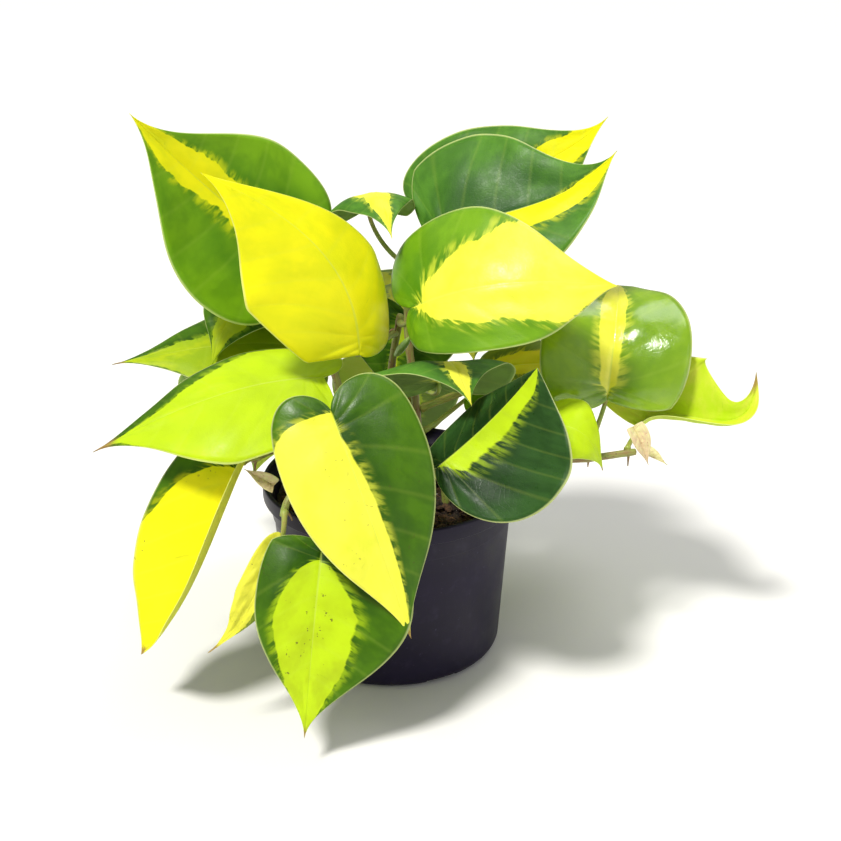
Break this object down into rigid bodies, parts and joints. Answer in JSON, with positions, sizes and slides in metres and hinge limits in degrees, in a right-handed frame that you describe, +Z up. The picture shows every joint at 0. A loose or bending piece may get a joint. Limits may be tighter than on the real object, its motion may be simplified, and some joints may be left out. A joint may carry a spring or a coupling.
{
  "type": "potted philodendron",
  "caption": "Heart-leaf trailing plant with variegated yellow-green leaves in a round dark plastic nursery pot of soil.",
  "frame": {"origin": "centre of the pot's underside, on the plane that the pot stands on", "axes": "+Z up; +X to the right, towards the long creeping stem; -Y to the front, where leaves trail over the rim"},
  "size_m": [0.2762, 0.216, 0.24],
  "materials": {
    "pot": "satin",
    "soil": "matte",
    "stem": "satin",
    "leaf": "gloss",
    "sheath": "matte",
    "shoot": "satin"
  },
  "bodies": {
    "root": {"pot": "pot", "soil": "soil", "stem_right": "stem", "stem_front": "stem", "stem_left": "stem", "stem_centre": "stem", "stem_back_left": "stem", "stem_back_right": "stem", "stem_back": "stem", "stem_back_low": "stem", "leaf_left_top": "leaf", "leaf_yellow": "leaf", "leaf_centre_back": "leaf", "leaf_mid_right": "leaf", "leaf_right_upper": "leaf", "leaf_right_top": "leaf", "leaf_right_glossy": "leaf", "leaf_right_curled": "leaf", "leaf_right_lime": "leaf", "leaf_front_folded": "leaf", "leaf_front_low": "leaf", "leaf_front_trailing": "leaf", "leaf_left_lime": "leaf", "leaf_left_green": "leaf", "leaf_left_small": "leaf", "leaf_right_under": "leaf", "leaf_left_hanging": "leaf", "leaf_small_hanging": "leaf", "leaf_bottom_trailing": "leaf", "leaf_back_upper_left": "leaf", "leaf_back_upper_right": "leaf", "leaf_back_left": "leaf", "leaf_back_right": "leaf", "leaf_back_trailing": "leaf", "leaf_back_low": "leaf", "leaf_middle_back": "leaf", "leaf_right_inner": "leaf", "sheath_left": "sheath", "sheath_right_upper": "sheath", "sheath_right_end": "sheath", "shoot_upper": "shoot", "shoot_front": "shoot", "shoot_front_small": "shoot"}
  },
  "joints": []
}
